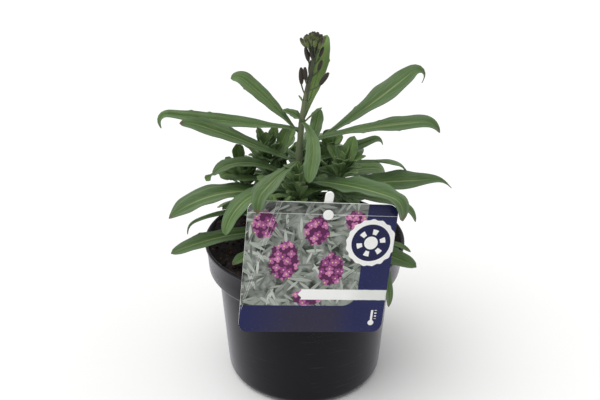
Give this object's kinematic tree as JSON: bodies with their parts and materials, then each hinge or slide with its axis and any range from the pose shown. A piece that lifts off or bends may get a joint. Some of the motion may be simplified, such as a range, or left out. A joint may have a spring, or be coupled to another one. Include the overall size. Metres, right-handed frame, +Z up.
{
  "type": "potted wallflower plant",
  "caption": "Young perennial wallflower in a black nursery pot of soil: narrow arching grey-green leaves, a spike of closed dark buds, leafy side shoots and a plastic picture card on a stake.",
  "frame": {"origin": "middle of the pot's underside, on the pot's axis", "axes": "+Z up along the pot's axis, -Y towards the front with the picture card, +X to the right"},
  "size_m": [0.1816, 0.1588, 0.2325],
  "materials": {
    "pot_plastic": "thin black moulded plastic with a soft sheen and light scuffs",
    "soil": "dark moist peat compost, crumbly and matt",
    "card_print": "glossy printed plastic sheet, navy round a picture of flowers among grey-green leaves",
    "white_plastic": "plain white moulded plastic",
    "leaf": "matt grey-green leaf with a paler midrib and a faint bloom",
    "bud": "matt dark purple-brown buds on green-purple stalks"
  },
  "bodies": {
    "root": {"pot": "pot_plastic", "potting_soil": "soil", "picture_card": "card_print", "card_stake": "white_plastic", "main_stem": "leaf", "flower_spike": "bud", "side_shoot_1": "leaf", "side_shoot_2": "leaf", "side_shoot_3": "leaf", "side_shoot_4": "leaf", "side_shoot_5": "leaf", "side_shoot_6": "leaf", "side_shoot_7": "leaf", "side_shoot_8": "leaf", "side_shoot_9": "leaf", "side_shoot_10": "leaf"}
  },
  "joints": []
}
